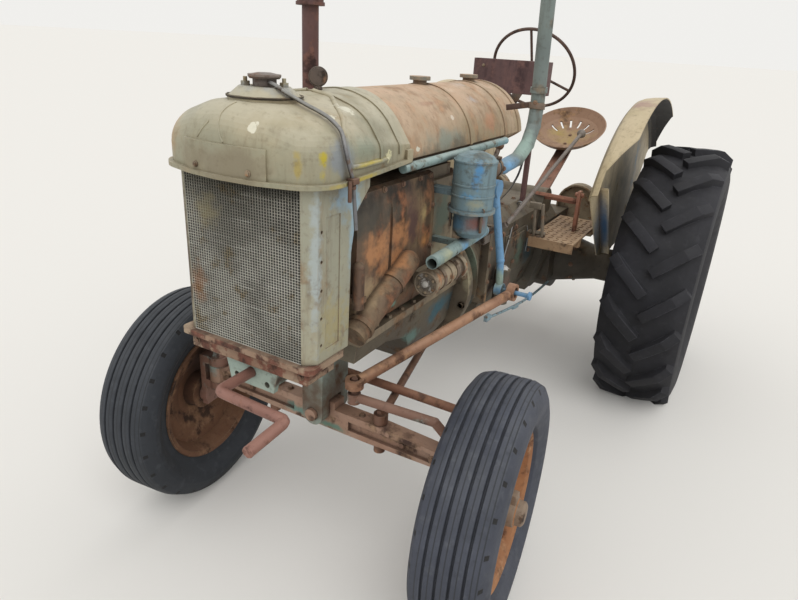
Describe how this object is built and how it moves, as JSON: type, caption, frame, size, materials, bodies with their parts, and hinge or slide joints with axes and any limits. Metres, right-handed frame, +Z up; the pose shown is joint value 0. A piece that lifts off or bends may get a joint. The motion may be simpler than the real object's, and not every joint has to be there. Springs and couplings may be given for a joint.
{
  "type": "vintage farm tractor",
  "caption": "Weathered farm tractor on rubber tyres with a radiator, fuel tank, bench fenders, sprung pan seat and linked steering, front wheels turned slightly left.",
  "frame": {"origin": "centre of the bounding box on the ground under the tractor", "axes": "-Y towards the front of the tractor, +X towards its left side, +Z up"},
  "size_m": [1.552, 2.6755, 1.79],
  "materials": {
    "radiator_core": "weathered fins, dusty",
    "radiator_bottom": "rusty maroon casting",
    "radiator_sides": "cream paint, worn",
    "top_tank": "olive paint with lichen",
    "filler_cap": "grey cap, worn",
    "thermometer": "dark weathered case",
    "overflow_tube": "dull tube",
    "front_bracket": "pale green paint, worn",
    "starting_handle": "rusty bar",
    "front_axle": "rusty forging with paint left",
    "radius_rods": "rusty rods",
    "knuckle_left": "rusty forging",
    "knuckle_right": "rusty forging",
    "tie_rod": "orange rust",
    "drag_link": "orange rust",
    "drop_arm": "blue paint, worn",
    "front_rim_left": "rusty rim",
    "front_rim_right": "rusty rim",
    "front_tyre_left": "aged ribbed rubber",
    "front_tyre_right": "aged ribbed rubber",
    "engine": "rusty casting",
    "oil_pan": "rusty casting",
    "manifold_cover": "rusty sheet",
    "magneto": "dark housing",
    "cover_rails": "light blue paint, worn",
    "air_cleaner": "blue paint with rust bands",
    "intake_pipe": "grey green paint",
    "exhaust": "dark rusted pipe",
    "fuel_tank": "rust streaked sheet",
    "clutch_housing": "rusty casting",
    "gearbox": "rusty casting",
    "rear_axle": "rusty casting",
    "dash_plate": "dark maroon plate",
    "steering_column": "rusty tube",
    "steering_wheel": "dark bare rim",
    "rear_rim_left": "rusty rim with pale paint",
    "rear_rim_right": "rusty rim with pale paint",
    "rear_tyre_left": "aged lugged rubber",
    "rear_tyre_right": "aged lugged rubber",
    "fenders": "tan rusty sheet",
    "seat": "rusty steel",
    "seat_spring": "rusty steel",
    "footplates": "rusty checker plate",
    "levers": "grey brown rods",
    "drawbar": "rusty bar"
  },
  "bodies": {
    "chassis": {"radiator_core": "radiator_core", "radiator_bottom": "radiator_bottom", "radiator_sides": "radiator_sides", "top_tank": "top_tank", "filler_cap": "filler_cap", "thermometer": "thermometer", "overflow_tube": "overflow_tube", "front_bracket": "front_bracket", "starting_handle": "starting_handle", "front_axle": "front_axle", "radius_rods": "radius_rods", "engine": "engine", "oil_pan": "oil_pan", "manifold_cover": "manifold_cover", "magneto": "magneto", "cover_rails": "cover_rails", "air_cleaner": "air_cleaner", "intake_pipe": "intake_pipe", "exhaust": "exhaust", "fuel_tank": "fuel_tank", "clutch_housing": "clutch_housing", "gearbox": "gearbox", "rear_axle": "rear_axle", "dash_plate": "dash_plate", "steering_column": "steering_column", "fenders": "fenders", "seat": "seat", "seat_spring": "seat_spring", "footplates": "footplates", "levers": "levers", "drawbar": "drawbar"},
    "knuckle_left": {"knuckle_left": "knuckle_left"},
    "knuckle_right": {"knuckle_right": "knuckle_right"},
    "tie_rod": {"tie_rod": "tie_rod"},
    "drag_link": {"drag_link": "drag_link"},
    "drop_arm": {"drop_arm": "drop_arm"},
    "steering_wheel": {"steering_wheel": "steering_wheel"},
    "front_wheel_left": {"front_rim_left": "front_rim_left", "front_tyre_left": "front_tyre_left"},
    "front_wheel_right": {"front_rim_right": "front_rim_right", "front_tyre_right": "front_tyre_right"},
    "rear_wheel_left": {"rear_rim_left": "rear_rim_left", "rear_tyre_left": "rear_tyre_left"},
    "rear_wheel_right": {"rear_rim_right": "rear_rim_right", "rear_tyre_right": "rear_tyre_right"}
  },
  "joints": [
    {"name": "steer_left", "type": "hinge", "parent": "chassis", "child": "knuckle_left", "pos_m": [0.392, -0.8425, 0.404], "axis": [0, 0, 1], "range_deg": [-36, 24]},
    {"name": "steer_right", "type": "hinge", "parent": "chassis", "child": "knuckle_right", "pos_m": [-0.392, -0.8425, 0.404], "axis": [0, 0, 1], "range_deg": [-36, 24]},
    {"name": "tie_rod_swing", "type": "hinge", "parent": "knuckle_left", "child": "tie_rod", "pos_m": [0.3803, -0.7311, 0.476], "axis": [0, 0, 1], "range_deg": [-24, 36]},
    {"name": "drag_link_swing", "type": "hinge", "parent": "knuckle_left", "child": "drag_link", "pos_m": [0.1115, -0.8719, 0.546], "axis": [0.0776, 0.3495, 0.9337], "range_deg": [-30, 44]},
    {"name": "drop_arm_swing", "type": "hinge", "parent": "chassis", "child": "drop_arm", "pos_m": [0.2, -0.2725, 0.957], "axis": [1, 0, 0], "range_deg": [-23, 34]},
    {"name": "steering_wheel_turn", "type": "hinge", "parent": "chassis", "child": "steering_wheel", "pos_m": [0, 0.5285, 1.272], "axis": [0, 0.866, 0.5], "range_deg": [-432, 288]},
    {"name": "front_left_spin", "type": "hinge", "parent": "knuckle_left", "child": "front_wheel_left", "pos_m": [0.4795, -0.8333, 0.318], "axis": [0.9945, 0.1045, 0], "continuous": true},
    {"name": "front_right_spin", "type": "hinge", "parent": "knuckle_right", "child": "front_wheel_right", "pos_m": [-0.4795, -0.8517, 0.318], "axis": [0.9945, 0.1045, 0], "continuous": true},
    {"name": "rear_left_spin", "type": "hinge", "parent": "chassis", "child": "rear_wheel_left", "pos_m": [0.618, 0.7575, 0.468], "axis": [1, 0, 0], "continuous": true},
    {"name": "rear_right_spin", "type": "hinge", "parent": "chassis", "child": "rear_wheel_right", "pos_m": [-0.618, 0.7575, 0.468], "axis": [1, 0, 0], "continuous": true}
  ],
  "couplings": [
    {"joint": "steer_right", "follows": "steer_left", "ratio": 1},
    {"joint": "tie_rod_swing", "follows": "steer_left", "ratio": -1},
    {"joint": "drag_link_swing", "follows": "steer_left", "ratio": -1.173},
    {"joint": "drop_arm_swing", "follows": "steer_left", "ratio": -0.94},
    {"joint": "steering_wheel_turn", "follows": "steer_left", "ratio": 12}
  ]
}
